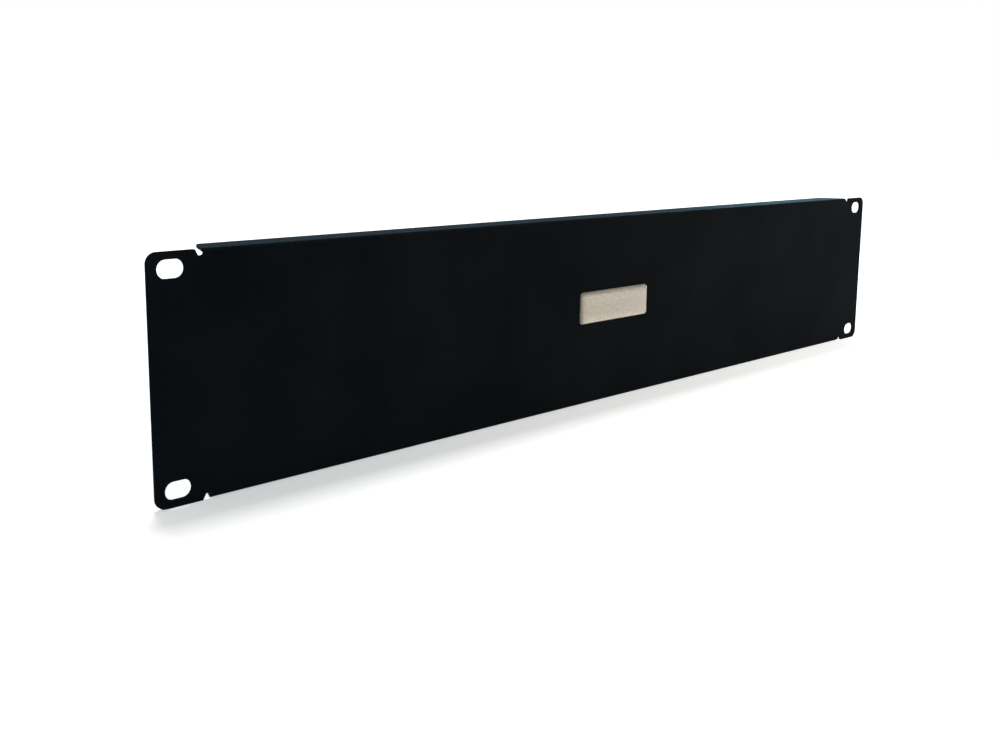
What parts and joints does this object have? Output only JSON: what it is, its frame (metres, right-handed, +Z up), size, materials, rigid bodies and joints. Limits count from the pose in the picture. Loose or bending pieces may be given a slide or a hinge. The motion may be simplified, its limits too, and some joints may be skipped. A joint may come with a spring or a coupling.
{
  "type": "rack blanking panel",
  "caption": "Folded sheet-steel filler panel for unused space in a 19-inch rack, with slotted ears, return flanges and a small resin-domed badge.",
  "frame": {"origin": "centre of the four mounting slots, on the rear face of the ears, which seats on the rack rails", "axes": "+X along the panel to the right seen from the front, +Y into the rack, +Z up; the face points towards -Y"},
  "size_m": [0.4826, 0.0167, 0.0882],
  "materials": {
    "powder_coat": "black powder coat, satin with a fine leather-like texture",
    "brushed_foil": "warm silver foil, finely brushed along its length",
    "clear_resin": "clear cast resin, glossy"
  },
  "bodies": {
    "root": {"folded_panel": "powder_coat", "badge_foil": "brushed_foil", "badge_dome": "clear_resin"}
  },
  "joints": []
}
